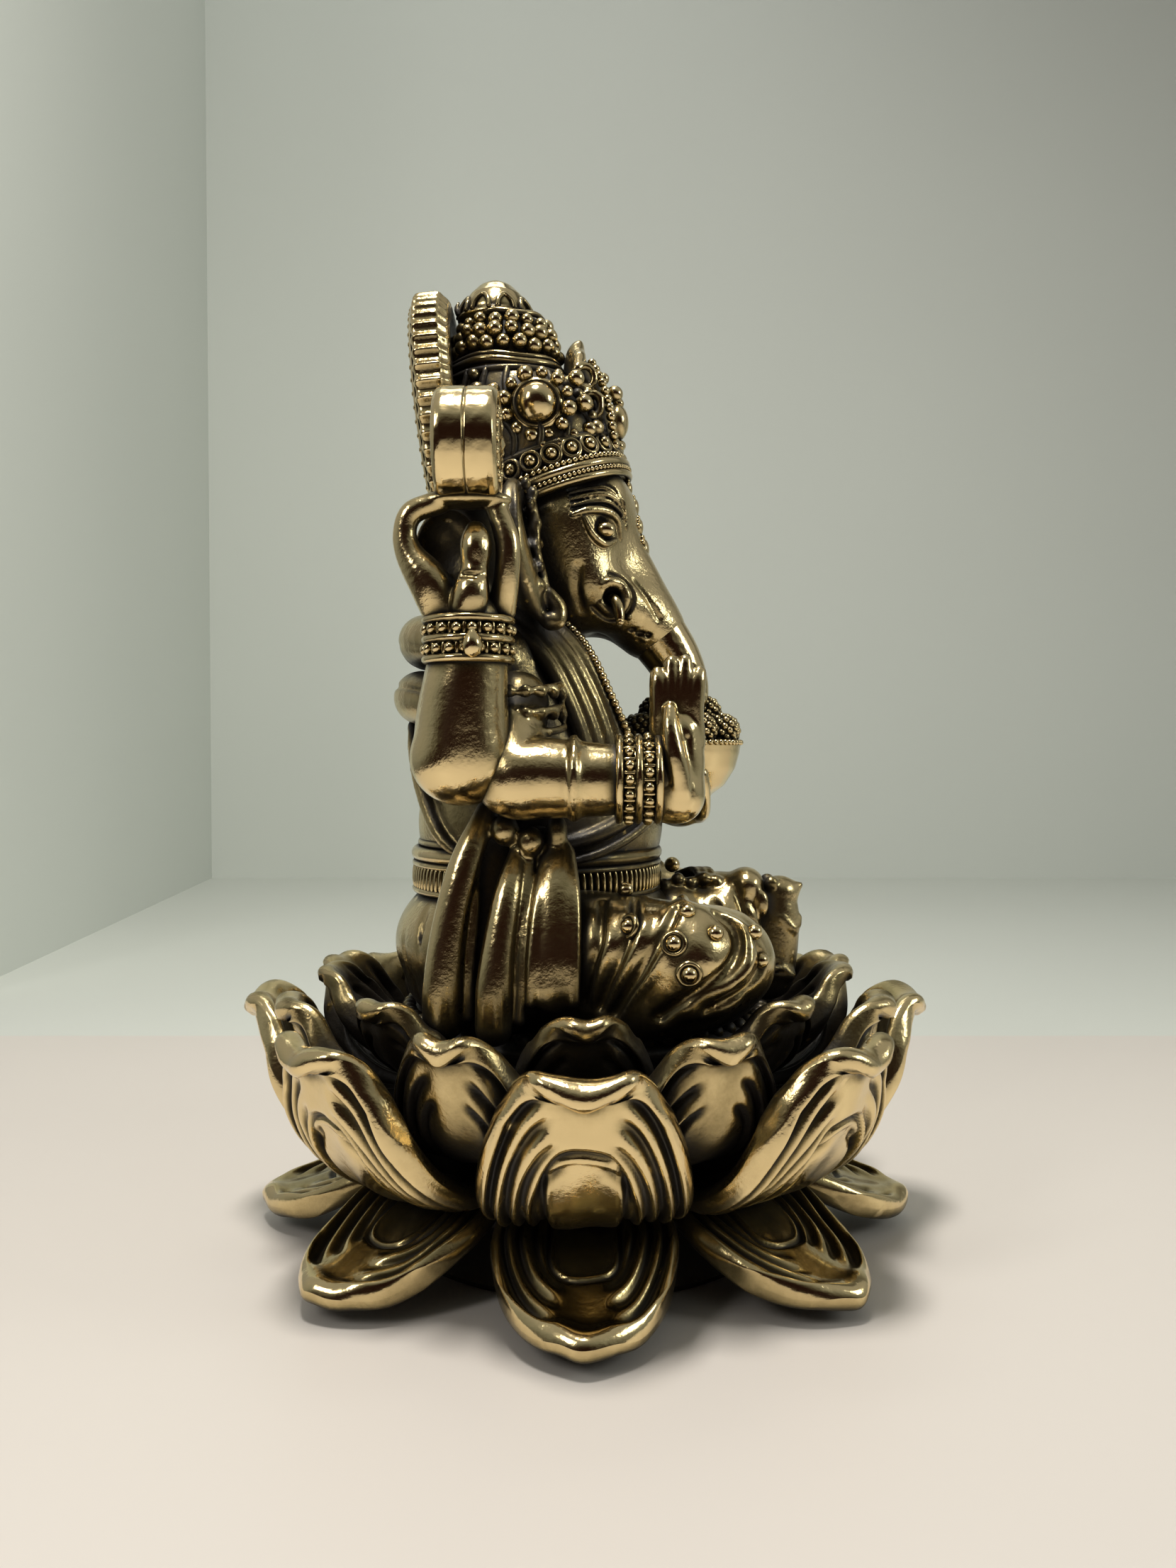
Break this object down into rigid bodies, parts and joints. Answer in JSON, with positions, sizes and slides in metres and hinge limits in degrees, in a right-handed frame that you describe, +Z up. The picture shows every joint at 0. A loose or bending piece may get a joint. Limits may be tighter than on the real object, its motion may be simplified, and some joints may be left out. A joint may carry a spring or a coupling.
{
  "type": "seated deity statuette",
  "caption": "Small cast brass figure with an elephant head, seated cross-legged on a lotus, with a tall crown, a halo disc and a bowl of sweets.",
  "frame": {"origin": "on the lotus axis, at the height of the flat underside of the lotus core", "axes": "+Z up, the figure faces -Y and its right side is -X"},
  "size_m": [0.0698, 0.0698, 0.0993],
  "materials": {
    "brass": "antique brass, satin, with brown patina in the recesses",
    "bright_brass": "brass polished bright on the raised parts",
    "aged_brass": "brass left dark with patina"
  },
  "bodies": {
    "root": {"base_core": "aged_brass", "lotus_deck": "aged_brass", "floor_petal_1": "brass", "floor_petal_2": "brass", "floor_petal_3": "brass", "floor_petal_4": "brass", "floor_petal_5": "brass", "floor_petal_6": "brass", "floor_petal_7": "brass", "floor_petal_8": "brass", "outer_petal_1": "brass", "outer_petal_2": "brass", "outer_petal_3": "brass", "outer_petal_4": "brass", "outer_petal_5": "brass", "outer_petal_6": "brass", "outer_petal_7": "brass", "outer_petal_8": "brass", "middle_petals": "aged_brass", "inner_petals": "brass", "hips": "brass", "torso": "brass", "right_leg": "brass", "left_leg": "brass", "feet": "brass", "leg_studs": "bright_brass", "waist_belt": "bright_brass", "sashes": "brass", "shawl": "brass", "garland": "bright_brass", "head": "brass", "trunk": "bright_brass", "right_ear": "brass", "left_ear": "brass", "tusks": "bright_brass", "eyes": "bright_brass", "forehead_ornament": "bright_brass", "crown_band": "bright_brass", "crown_body": "aged_brass", "crown_cabochons": "bright_brass", "crown_crest": "bright_brass", "crown_beads": "bright_brass", "crown_finial": "bright_brass", "halo_disc": "brass", "right_rear_arm": "brass", "left_rear_arm": "brass", "right_front_arm": "brass", "left_front_arm": "brass", "right_rear_hand": "bright_brass", "left_rear_hand": "bright_brass", "right_front_hand": "bright_brass", "left_front_hand": "bright_brass", "front_bracelets": "bright_brass", "rear_bracelets": "bright_brass", "right_disc": "bright_brass", "left_disc": "bright_brass", "bowl": "bright_brass", "sweets": "brass", "attendant": "aged_brass"}
  },
  "joints": []
}
